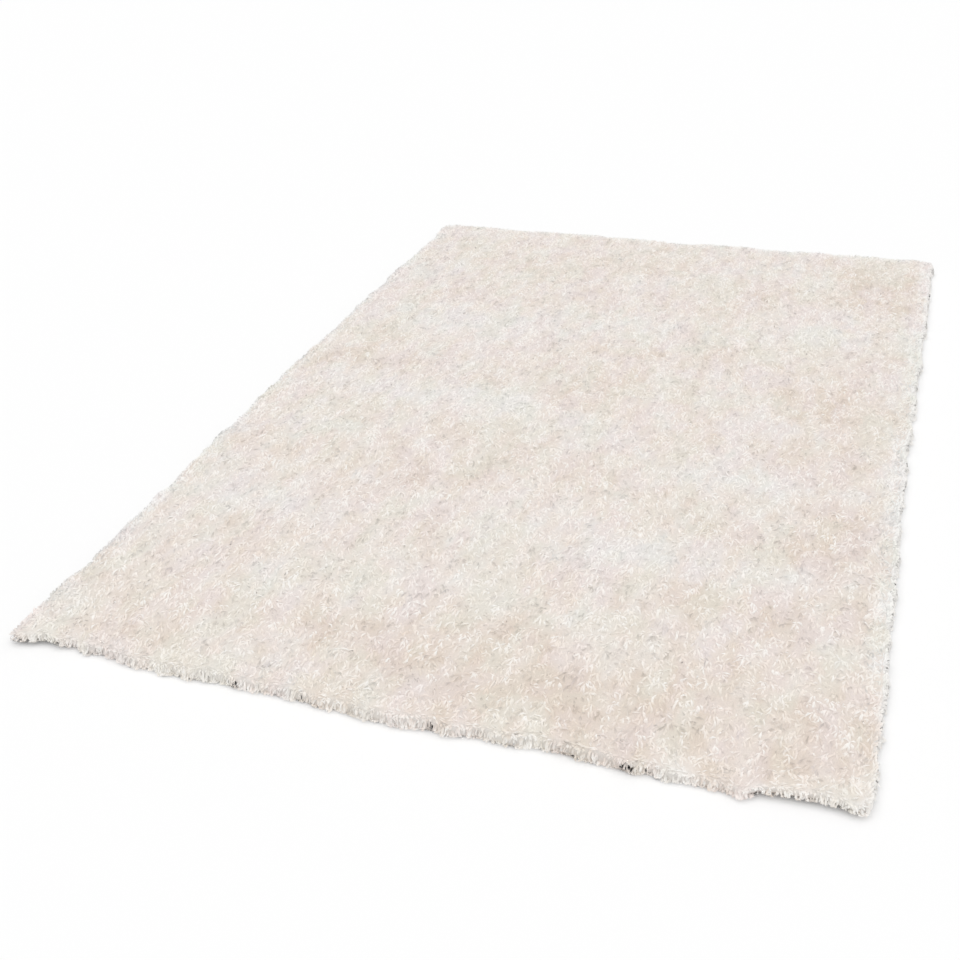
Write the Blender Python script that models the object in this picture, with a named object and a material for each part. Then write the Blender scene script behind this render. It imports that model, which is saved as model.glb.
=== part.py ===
"""Shag rug: a deep-pile rug that lies flat, 1.60 m wide and 2.35 m long over its pile.

It has two pieces. The pile is one lumpy slab of yarn whose side wall breaks up into locks, which
lean out over the edge and rest their tips on the floor. The backing is the flat ground cloth that
carries the yarn, set back under that overhang.

Frame: metres, +Z up, width along X, length along Y, origin on the floor under the middle.
"""

import math
import random
from typing import NamedTuple

import bmesh
import bpy
from mathutils import Vector, noise

# Whole rug, measured over the tips of the pile
WIDTH = 1.60
LENGTH = 2.35
CORNER_RADIUS = 0.045
PILE_TOP = 0.034

# How far each corner stands out past a quarter circle, halfway round it
NEAR_RIGHT_FILL = 0.010
FAR_RIGHT_FILL = 0.004
FAR_LEFT_FILL = 0.008
NEAR_LEFT_FILL = 0.014

# Ground cloth, and the clearance between it and the yarn above
BACKING_THICKNESS = 0.003
BACKING_INSET = 0.034
BACKING_CORNER_RADIUS = 0.012
BACKING_CORNER_STEPS = 4
CLEARANCE = 0.0003

# Side wall of the pile: how far each ring of it lies inside the outline, and how high
SHOULDER_INSET = 0.036
SHOULDER_DROP = 0.004
SHOULDER_UNEVENNESS = 0.0030
WALL_TOP_INSET = 0.016
WALL_TOP_HEIGHT = 0.0245
WALL_TOP_UNEVENNESS = 0.0035
WALL_FOOT_INSET = 0.019

# Top of the pile: its grid and its lumps
FIELD_INSET = 0.062
FIELD_COLUMNS = 34
FIELD_ROWS = 50

# Locks round the rim
LOCK_COUNT = 264
LOCK_GAP = 0.0016
LOCK_WIDTH_SPREAD = 0.24
LOCK_REACH = 0.0165
LOCK_REACH_SPREAD = 0.32
LOCK_LEAN = 0.0040
LOCK_LEAN_SPREAD = 0.0035
LOCK_TAPER_SPREAD = 0.30
LOCK_SEED = 11

# Finishes, as linear colour
PILE_COLOUR = (0.80, 0.74, 0.66)
PILE_ROUGHNESS = 0.95
BACKING_COLOUR = (0.46, 0.42, 0.35)
BACKING_ROUGHNESS = 0.9
SHARP_ANGLE = math.radians(40)


class Swell(NamedTuple):
    """How far one side of the rug stands out of its straight line at a place along it."""

    along: float
    out: float


class Lump(NamedTuple):
    """One size of unevenness in the top of the pile."""

    length_x: float
    length_y: float
    rise: float
    layer: float


class Section(NamedTuple):
    """A cross-section of a lock, as shares of its reach and root width, and its heights."""

    reach: float
    width: float
    lean: float
    low: float
    high: float


class Lock(NamedTuple):
    """The sizes of one lock: its root's width, and how it reaches, leans and narrows."""

    width: float
    reach: float
    lean: float
    taper: float


class Tuft(NamedTuple):
    """A long lock that hangs further out than its neighbours."""

    side: str
    along: float
    stretch: float


class Station(NamedTuple):
    """A place on the rug's outline, with the direction that faces out of the rug there."""

    side: str
    along: float
    point: Vector
    outward: Vector


NEAR_SWELLS = (
    Swell(-0.74, -0.010),
    Swell(-0.62, -0.003),
    Swell(-0.50, 0.009),
    Swell(-0.40, -0.001),
    Swell(-0.25, 0.004),
    Swell(0.01, 0.012),
    Swell(0.29, -0.002),
    Swell(0.43, 0.008),
    Swell(0.55, 0.003),
    Swell(0.64, -0.008),
    Swell(0.76, -0.005),
)
RIGHT_SWELLS = (
    Swell(-1.09, 0.001),
    Swell(-0.93, 0.003),
    Swell(-0.60, -0.001),
    Swell(-0.12, -0.006),
    Swell(0.25, -0.002),
    Swell(0.55, 0.004),
    Swell(1.05, 0.006),
)
FAR_SWELLS = (
    Swell(-0.70, -0.003),
    Swell(-0.35, 0.003),
    Swell(-0.05, -0.002),
    Swell(0.30, 0.003),
    Swell(0.70, 0.000),
)
LEFT_SWELLS = (
    Swell(-1.08, 0.002),
    Swell(-0.77, -0.002),
    Swell(-0.45, 0.000),
    Swell(-0.10, 0.005),
    Swell(0.20, 0.001),
    Swell(0.46, -0.006),
    Swell(1.05, -0.012),
)

LUMPS = (
    Lump(0.45, 0.25, 0.0030, 1.0),
    Lump(0.15, 0.11, 0.0058, 2.0),
    Lump(0.085, 0.085, 0.0054, 3.0),
)

LOCK_SECTIONS = (
    Section(reach=0.52, width=0.84, lean=0.4, low=0.0008, high=0.0190),
    Section(reach=1.00, width=0.36, lean=1.0, low=0.0, high=0.0060),
)

LONG_TUFTS = (
    Tuft("near", -0.40, 1.5),
    Tuft("near", 0.00, 1.3),
    Tuft("near", 0.60, 2.0),
)


def clear_scene():
    """Removes the objects that a new scene starts with."""
    for thing in list(bpy.data.objects):
        bpy.data.objects.remove(thing, do_unlink=True)


def make_material(name, colour, roughness):
    """A plain cloth material with one colour."""
    material = bpy.data.materials.new(name)
    material.use_nodes = True
    shader = material.node_tree.nodes["Principled BSDF"]
    shader.inputs["Base Color"].default_value = (*colour, 1.0)
    shader.inputs["Roughness"].default_value = roughness
    shader.inputs["Metallic"].default_value = 0.0
    material.diffuse_color = (*colour, 1.0)
    return material


def swell_at(swells, along):
    """Reads a side's table of swells with a smooth curve from row to row."""
    if along <= swells[0].along:
        return swells[0].out
    for before, after in zip(swells, swells[1:]):
        if along <= after.along:
            share = (along - before.along) / (after.along - before.along)
            ease = share * share * (3.0 - 2.0 * share)
            return before.out + (after.out - before.out) * ease
    return swells[-1].out


class Side(NamedTuple):
    """One straight side of the outline, walked anticlockwise, and the corner that follows it."""

    name: str
    length: float
    start: Vector
    forward: Vector
    swells: tuple
    corner_fill: float


def rug_sides(inset=0.0, radius=CORNER_RADIUS):
    """The four straight sides between the rounded corners, from near round to left."""
    half_x = WIDTH / 2 - inset
    half_y = LENGTH / 2 - inset
    run_x = 2 * (half_x - radius)
    run_y = 2 * (half_y - radius)
    near_left = Vector((-half_x + radius, -half_y))
    near_right = Vector((half_x, -half_y + radius))
    far_right = Vector((half_x - radius, half_y))
    far_left = Vector((-half_x, half_y - radius))
    return (
        Side("near", run_x, near_left, Vector((1, 0)), NEAR_SWELLS, NEAR_RIGHT_FILL),
        Side("right", run_y, near_right, Vector((0, 1)), RIGHT_SWELLS, FAR_RIGHT_FILL),
        Side("far", run_x, far_right, Vector((-1, 0)), FAR_SWELLS, FAR_LEFT_FILL),
        Side("left", run_y, far_left, Vector((0, -1)), LEFT_SWELLS, NEAR_LEFT_FILL),
    )


def outward_of(direction):
    """The direction that faces out of the rug beside a walk that goes anticlockwise."""
    return Vector((direction.y, -direction.x))


def side_coordinate(side, point):
    """The x or y of a point, whichever runs along the side."""
    return point.x if abs(side.forward.x) > 0.5 else point.y


def outline_station(distance):
    """The place on the rounded, uneven outline at a distance walked round it."""
    sides = rug_sides()
    corner = CORNER_RADIUS * math.pi / 2
    for index, side in enumerate(sides):
        facing = outward_of(side.forward)
        if distance <= side.length:
            base = side.start + side.forward * distance
            along = side_coordinate(side, base)
            point = base + facing * swell_at(side.swells, along)
            return Station(side.name, along, point, facing)
        distance -= side.length
        if distance <= corner:
            following = sides[(index + 1) % len(sides)]
            end = side.start + side.forward * side.length
            share = distance / corner
            angle = share * math.pi / 2
            heading = facing * math.cos(angle) + side.forward * math.sin(angle)
            centre = end - facing * CORNER_RADIUS
            leaving = swell_at(side.swells, side_coordinate(side, end))
            arriving = swell_at(following.swells, side_coordinate(following, following.start))
            out = leaving * (1.0 - share) + arriving * share
            out += side.corner_fill * math.sin(2.0 * angle) ** 2
            along = side_coordinate(side, end)
            return Station(side.name, along, centre + heading * (CORNER_RADIUS + out), heading)
        distance -= corner
    return outline_station(0.0)


def outline_length():
    """The distance once round the rounded outline."""
    return sum(side.length for side in rug_sides()) + 2 * math.pi * CORNER_RADIUS


def lock_bounds(chance):
    """Distances round the outline where each lock meets the next, unevenly spaced."""
    step = outline_length() / LOCK_COUNT
    spread = LOCK_WIDTH_SPREAD
    return [step * (index + chance.uniform(0.0, spread)) for index in range(LOCK_COUNT)]


def pile_height(x, y):
    """Height of the top of the pile, with its lumps."""
    height = PILE_TOP
    for lump in LUMPS:
        place = Vector((x / lump.length_x, y / lump.length_y, lump.layer))
        height += lump.rise * noise.noise(place)
    return height


def add_ring(bm, stations, inset, height_at):
    """Adds a closed ring of points inside the outline and returns them in order."""
    ring = []
    for station in stations:
        flat = station.point - station.outward * inset
        ring.append(bm.verts.new((flat.x, flat.y, height_at(flat.x, flat.y))))
    return ring


def ring_edges(bm, ring):
    """Joins a ring's points with edges and returns them."""
    return [bm.edges.new((ring[i - 1], ring[i])) for i in range(len(ring))]


def add_wall(bm, upper, lower):
    """Adds the band of faces between two rings and returns them, facing out."""
    faces = []
    for index in range(len(upper)):
        after = (index + 1) % len(upper)
        faces.append(bm.faces.new((upper[index], lower[index], lower[after], upper[after])))
    return faces


def add_field(bm):
    """Starts a mesh with the lumpy top between the shoulders, and returns the edges round it."""
    bmesh.ops.create_grid(bm, x_segments=FIELD_COLUMNS, y_segments=FIELD_ROWS, size=1.0)
    half_x = WIDTH / 2 - FIELD_INSET
    half_y = LENGTH / 2 - FIELD_INSET
    for vert in bm.verts:
        x = vert.co.x * half_x
        y = vert.co.y * half_y
        vert.co = (x, y, pile_height(x, y))
    return [edge for edge in bm.edges if edge.is_boundary]


def stretch_at(station):
    """How much longer than usual a lock is, near one of the long tufts."""
    spacing = outline_length() / LOCK_COUNT
    for tuft in LONG_TUFTS:
        if tuft.side == station.side and abs(tuft.along - station.along) < spacing / 2:
            return tuft.stretch
    return 1.0


def shape_section(face, root, station, lock, section):
    """Moves a lock's newest face to one of its cross-sections.

    The face keeps its four corners: each is put on the left or the right and on the top or
    the bottom of the section by where it lies now.
    """
    sideways = Vector((-station.outward.y, station.outward.x))
    middle = face.calc_center_median()
    half_width = lock.width * section.width * lock.taper / 2
    for vert in face.verts:
        right = (vert.co - middle).xy.dot(sideways) > 0
        top = vert.co.z > middle.z
        across = half_width * (1 if right else -1) + lock.lean * section.lean
        flat = root.xy + station.outward * (lock.reach * section.reach) + sideways * across
        vert.co = (flat.x, flat.y, section.high if top else section.low)


def grow_lock(bm, face, station, chance):
    """Draws one lock out of a face of the side wall, down to its tip on the floor."""
    bmesh.ops.inset_individual(bm, faces=[face], thickness=LOCK_GAP / 2, use_even_offset=True)
    root = face.calc_center_median()
    sideways = Vector((-station.outward.y, station.outward.x))
    spans = [(vert.co - root).xy.dot(sideways) for vert in face.verts]
    longer = 1.0 + chance.uniform(-LOCK_REACH_SPREAD, LOCK_REACH_SPREAD)
    lock = Lock(
        width=max(spans) - min(spans),
        reach=LOCK_REACH * longer * stretch_at(station),
        lean=LOCK_LEAN + chance.uniform(-LOCK_LEAN_SPREAD, LOCK_LEAN_SPREAD),
        taper=1.0 - chance.uniform(0.0, LOCK_TAPER_SPREAD),
    )
    for section in LOCK_SECTIONS:
        face = bmesh.ops.extrude_discrete_faces(bm, faces=[face])["faces"][0]
        shape_section(face, root, station, lock, section)


def build_pile():
    """The yarn: a lumpy slab with locks round its rim, one closed body."""
    chance = random.Random(LOCK_SEED)
    bounds = lock_bounds(chance)
    stations = [outline_station(distance) for distance in bounds]

    def shoulder_height(x, y):
        """Height of the round shoulder, a little below the top beside it."""
        lump = chance.uniform(-SHOULDER_UNEVENNESS, SHOULDER_UNEVENNESS)
        return pile_height(x, y) - SHOULDER_DROP + lump

    def wall_height(x, y):
        """Height at which the locks leave the slab."""
        return WALL_TOP_HEIGHT + chance.uniform(-WALL_TOP_UNEVENNESS, WALL_TOP_UNEVENNESS)

    bm = bmesh.new()
    field_edges = add_field(bm)
    shoulder = add_ring(bm, stations, SHOULDER_INSET, shoulder_height)
    wall_top = add_ring(bm, stations, WALL_TOP_INSET, wall_height)
    wall_foot = add_ring(bm, stations, WALL_FOOT_INSET, lambda x, y: BACKING_THICKNESS + CLEARANCE)
    bmesh.ops.bridge_loops(bm, edges=field_edges + ring_edges(bm, shoulder))
    add_wall(bm, shoulder, wall_top)
    wall = add_wall(bm, wall_top, wall_foot)
    bm.faces.new(list(reversed(wall_foot)))
    bmesh.ops.recalc_face_normals(bm, faces=bm.faces)
    ends = bounds[1:] + [bounds[0] + outline_length()]
    for face, start, end in zip(wall, bounds, ends):
        grow_lock(bm, face, outline_station((start + end) / 2), chance)
    bmesh.ops.recalc_face_normals(bm, faces=bm.faces)
    material = make_material("cream_yarn", PILE_COLOUR, PILE_ROUGHNESS)
    return finish_object(bm, "pile", material)


def build_backing():
    """The ground cloth: a flat rectangle with small round corners."""
    bm = bmesh.new()
    radius = BACKING_CORNER_RADIUS
    outline = []
    for side in rug_sides(BACKING_INSET, radius):
        facing = outward_of(side.forward)
        end = side.start + side.forward * side.length
        centre = end - facing * radius
        for step in range(BACKING_CORNER_STEPS + 1):
            angle = step / BACKING_CORNER_STEPS * math.pi / 2
            heading = facing * math.cos(angle) + side.forward * math.sin(angle)
            flat = centre + heading * radius
            outline.append(bm.verts.new((flat.x, flat.y, 0.0)))
    underside = bm.faces.new(outline)
    top = bmesh.ops.extrude_face_region(bm, geom=[underside])["geom"]
    raised = [item for item in top if isinstance(item, bmesh.types.BMVert)]
    bmesh.ops.translate(bm, verts=raised, vec=(0.0, 0.0, BACKING_THICKNESS))
    bmesh.ops.recalc_face_normals(bm, faces=bm.faces)
    material = make_material("ground_cloth", BACKING_COLOUR, BACKING_ROUGHNESS)
    return finish_object(bm, "backing", material)


def finish_object(bm, name, material):
    """Turns a finished mesh into a named object with its material."""
    mesh = bpy.data.meshes.new(name)
    bm.to_mesh(mesh)
    bm.free()
    mesh.materials.append(material)
    mesh.shade_smooth()
    mesh.set_sharp_from_angle(angle=SHARP_ANGLE)
    thing = bpy.data.objects.new(name, mesh)
    bpy.context.scene.collection.objects.link(thing)
    return thing


def centre_on_origin(things):
    """Slides all the pieces so that the middle of their outline stands over the origin."""
    points = [vert.co for thing in things for vert in thing.data.vertices]
    middle_x = (min(p.x for p in points) + max(p.x for p in points)) / 2
    middle_y = (min(p.y for p in points) + max(p.y for p in points)) / 2
    for thing in things:
        for vert in thing.data.vertices:
            vert.co.x -= middle_x
            vert.co.y -= middle_y


def main():
    """Builds the rug."""
    clear_scene()
    centre_on_origin([build_pile(), build_backing()])


main()
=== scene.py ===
"""Shag rug: the looks of a deep-pile cream rug that lies flat on a white studio floor.

The rug is a woven ground cloth, a dense bed of pile, and the locks of yarn that stand on that bed
and mostly lean away from its near end. Round the rim the locks hang out over the edge to the
floor. Every size that the frame knows, such as the height of the pile and the line of the rim, is
read from it.
"""

import logging
import math
from dataclasses import dataclass, fields
from enum import Enum

import bmesh
import bpy
import numpy as np
from mathutils import Euler, Matrix, Vector
from mathutils.bvhtree import BVHTree
from mathutils.kdtree import KDTree


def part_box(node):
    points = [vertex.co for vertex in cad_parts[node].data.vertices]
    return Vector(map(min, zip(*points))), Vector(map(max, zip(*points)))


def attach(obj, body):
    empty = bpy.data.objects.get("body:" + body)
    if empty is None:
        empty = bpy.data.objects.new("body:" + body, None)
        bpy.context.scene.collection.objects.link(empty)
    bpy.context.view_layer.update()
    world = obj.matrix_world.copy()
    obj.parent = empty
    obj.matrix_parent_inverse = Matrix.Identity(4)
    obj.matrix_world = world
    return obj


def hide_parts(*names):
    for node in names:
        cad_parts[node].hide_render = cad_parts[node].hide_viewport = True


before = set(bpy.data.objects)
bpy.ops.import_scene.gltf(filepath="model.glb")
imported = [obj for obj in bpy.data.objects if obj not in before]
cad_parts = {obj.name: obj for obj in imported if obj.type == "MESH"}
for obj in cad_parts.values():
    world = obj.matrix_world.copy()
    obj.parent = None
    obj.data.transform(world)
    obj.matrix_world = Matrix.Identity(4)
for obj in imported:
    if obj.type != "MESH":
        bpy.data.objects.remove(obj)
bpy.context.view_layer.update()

log = logging.getLogger("shag_rug")

IMAGE_SIDE = 960
BODY = "root"
PILE_NODE = "pile"
BACKING_NODE = "backing"
DENSE_SEED_OFFSET = 1000
TUFT_SEED_OFFSET = 90
SHORTEST = 1e-9


class Tint(Enum):
    """Which way a soft patch of the pile leans from its middle colour."""

    PALE = 1.0
    WARM = -1.0


@dataclass(frozen=True)
class Patch:
    """A soft patch in the mottling of the pile, longest across the rug."""

    tint: Tint
    x: float
    y: float
    half_width: float
    half_depth: float
    strength: float


PATCHES = (
    Patch(Tint.PALE, -0.38, -0.04, 0.34, 0.07, 1.0),
    Patch(Tint.PALE, -0.54, -0.22, 0.16, 0.07, 0.8),
    Patch(Tint.PALE, -0.14, -0.02, 0.07, 0.05, 1.0),
    Patch(Tint.PALE, -0.54, -0.61, 0.22, 0.06, 1.2),
    Patch(Tint.PALE, 0.00, -0.61, 0.09, 0.07, 0.8),
    Patch(Tint.PALE, 0.29, -0.60, 0.10, 0.06, 1.3),
    Patch(Tint.PALE, 0.57, -0.60, 0.07, 0.04, 1.0),
    Patch(Tint.PALE, 0.39, -0.27, 0.22, 0.05, 1.0),
    Patch(Tint.PALE, 0.53, 0.54, 0.12, 0.09, 0.9),
    Patch(Tint.PALE, -0.52, 0.38, 0.14, 0.12, 0.6),
    Patch(Tint.PALE, -0.12, 0.42, 0.26, 0.08, 0.5),
    Patch(Tint.PALE, -0.71, 0.76, 0.10, 0.14, 0.6),
    Patch(Tint.PALE, 0.44, 0.97, 0.12, 0.08, 0.5),
    Patch(Tint.PALE, -0.72, -1.08, 0.08, 0.05, 0.7),
    Patch(Tint.PALE, 0.79, -0.29, 0.04, 0.36, 0.7),
    Patch(Tint.PALE, -0.80, 0.10, 0.06, 1.00, 0.2),
    Patch(Tint.PALE, 0.00, 1.18, 0.80, 0.06, 0.6),
    Patch(Tint.WARM, 0.22, -1.08, 0.36, 0.09, 1.3),
    Patch(Tint.WARM, 0.16, -1.06, 0.13, 0.05, 0.6),
    Patch(Tint.WARM, -0.24, -1.04, 0.14, 0.08, 0.9),
    Patch(Tint.WARM, 0.67, -0.38, 0.09, 0.16, 1.1),
    Patch(Tint.WARM, 0.64, 0.05, 0.09, 0.25, 0.8),
    Patch(Tint.WARM, 0.67, 0.91, 0.14, 0.15, 1.2),
    Patch(Tint.WARM, 0.52, -0.76, 0.13, 0.08, 0.8),
    Patch(Tint.WARM, -0.22, -0.42, 0.14, 0.06, 0.6),
    Patch(Tint.WARM, 0.06, -0.91, 0.11, 0.07, 0.5),
    Patch(Tint.WARM, 0.67, -1.05, 0.16, 0.12, 1.0),
    Patch(Tint.WARM, -0.70, 0.16, 0.10, 0.09, 0.5),
    Patch(Tint.WARM, 0.13, 0.19, 0.10, 0.09, 0.4),
)


# ---- noise and arrays


def smoothstep(low: float, high: float, value: np.ndarray) -> np.ndarray:
    """Rises smoothly from 0 at low to 1 at high, for each value."""
    share = np.clip((value - low) / (high - low), 0.0, 1.0)
    return share * share * (3.0 - 2.0 * share)


def between(grid: np.ndarray, column: np.ndarray, row: np.ndarray, share: np.ndarray) -> np.ndarray:
    """Reads a grid of values between its points.

    Args:
        grid: The values, by column and row.
        column: The column before each place.
        row: The row before each place.
        share: How far past that column and row each place lies, from 0 to 1.

    Returns:
        One value for each place.
    """
    across, along = share.T
    near = grid[column, row] * (1 - across) + grid[column + 1, row] * across
    far = grid[column, row + 1] * (1 - across) + grid[column + 1, row + 1] * across
    return near * (1 - along) + far * along


def varied(middle: float, spread: float, count: int, chance: np.random.Generator) -> np.ndarray:
    """Draws sizes round a middle one, off it by up to the spread, which is a share of it."""
    return middle * (1.0 + chance.uniform(-spread, spread, count))


class SoftNoise:
    """Smooth seeded noise over the floor plan, from -1 to 1, as a grid of random heights."""

    SIDE = 256

    def __init__(self, seed: int, cell_x: float, cell_y: float) -> None:
        """Draws the grid, with lumps of these sizes across and along the rug, in metres."""
        self.cells = np.array([cell_x, cell_y])
        self.grid = np.random.default_rng(seed).uniform(-1.0, 1.0, (self.SIDE, self.SIDE))

    def at(self, places: np.ndarray) -> np.ndarray:
        """Reads the noise.

        Args:
            places: Points of the floor plan, one row each.

        Returns:
            One value for each place.
        """
        spot = places[:, :2] / self.cells + self.SIDE / 2
        corner = np.floor(spot).astype(int)
        column, row = (corner % (self.SIDE - 1)).T
        return between(self.grid, column, row, smoothstep(0.0, 1.0, spot - corner))


class Tufts:
    """The tufts that the locks gather in, one for each cell of an uneven grid over the floor."""

    SIDE = 256
    UNEVENNESS = 0.30

    def __init__(self, seed: int, cell_x: float, cell_y: float) -> None:
        """Draws the middles of the tufts, each a little off the middle of its cell.

        Args:
            seed: Starts the random draws.
            cell_x: Distance between tufts across the rug, in metres.
            cell_y: Distance between tufts along the rug, in metres.
        """
        chance = np.random.default_rng(seed)
        size = (self.SIDE, self.SIDE, 2)
        self.cells = np.array([cell_x, cell_y])
        self.strays = chance.uniform(-self.UNEVENNESS, self.UNEVENNESS, size)
        self.values = chance.uniform(-1.0, 1.0, size)
        self.shifts = chance.uniform(0.0, 1.0, self.SIDE)

    def at(self, places: np.ndarray) -> tuple[np.ndarray, np.ndarray]:
        """Finds the tuft of each place.

        Args:
            places: Points of the floor plan, one row each.

        Returns:
            The tuft's middle, and two numbers from -1 to 1 that are the tuft's own.
        """
        spot = places[:, :2] / self.cells + self.SIDE / 2
        shift = self.shifts[np.floor(spot[:, 0]).astype(int) % self.SIDE]
        spot[:, 1] += shift
        corner = np.floor(spot).astype(int)
        column, row = (corner % self.SIDE).T
        middle = corner + 0.5 + self.strays[column, row]
        middle[:, 1] -= shift
        return (middle - self.SIDE / 2) * self.cells, self.values[column, row]


def unit(vectors: np.ndarray) -> np.ndarray:
    """Scales each row to length 1."""
    return vectors / np.maximum(np.linalg.norm(vectors, axis=1, keepdims=True), SHORTEST)


def headings(angles: np.ndarray) -> np.ndarray:
    """Turns angles from +X towards +Y, in radians, into flat directions."""
    return np.stack([np.cos(angles), np.sin(angles)], axis=1)


def add_object(name: str, data: bpy.types.ID) -> bpy.types.Object:
    """Puts a new object in the scene.

    Args:
        name: The object's name.
        data: Its mesh, lamp or camera.

    Returns:
        The object.
    """
    made = bpy.data.objects.new(name, data)
    bpy.context.scene.collection.objects.link(made)
    return made


def flat_grid(columns: int, rows: int, half: float = 0.5) -> bmesh.types.BMesh:
    """Starts a mesh as a flat grid round the origin.

    Args:
        columns: How many faces it has across.
        rows: How many faces it has along.
        half: Half its width and depth.

    Returns:
        The mesh, open for changes.
    """
    bm = bmesh.new()
    bmesh.ops.create_grid(bm, x_segments=columns, y_segments=rows, size=half)
    return bm


def close_mesh(name: str, bm: bmesh.types.BMesh) -> bpy.types.Object:
    """Makes an object from a mesh that is open for changes.

    Args:
        name: The object's name.
        bm: The mesh, which can't be used afterwards.

    Returns:
        The new object.
    """
    mesh = bpy.data.meshes.new(name)
    bm.to_mesh(mesh)
    bm.free()
    return add_object(name, mesh)


def mesh_object(
    name: str, points: np.ndarray, corners: np.ndarray, sizes: np.ndarray
) -> bpy.types.Object:
    """Makes one object from arrays of points and faces.

    Args:
        name: The object's name.
        points: Coordinates, one row each.
        corners: The points of every face, face after face.
        sizes: How many corners each face has.

    Returns:
        The new, smooth-shaded object.
    """
    mesh = bpy.data.meshes.new(name)
    mesh.vertices.add(len(points))
    mesh.vertices.foreach_set("co", points.astype(np.float32).ravel())
    mesh.loops.add(len(corners))
    mesh.loops.foreach_set("vertex_index", corners.astype(np.int32))
    mesh.polygons.add(len(sizes))
    starts = np.concatenate([[0], np.cumsum(sizes)[:-1]])
    mesh.polygons.foreach_set("loop_start", starts.astype(np.int32))
    mesh.update(calc_edges=True)
    mesh.shade_smooth()
    return add_object(name, mesh)


def set_attribute(piece: bpy.types.Object, name: str, values: np.ndarray) -> None:
    """Stores a value at every point of a piece for its material to read.

    Args:
        piece: The piece.
        name: The attribute's name.
        values: One number for each point, or one row of three.
    """
    if values.ndim == 1:
        layer = piece.data.attributes.new(name, "FLOAT", "POINT")
        layer.data.foreach_set("value", values.astype(np.float32))
        return
    layer = piece.data.attributes.new(name, "FLOAT_VECTOR", "POINT")
    layer.data.foreach_set("vector", values.astype(np.float32).ravel())


# ---- the rug's form


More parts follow.
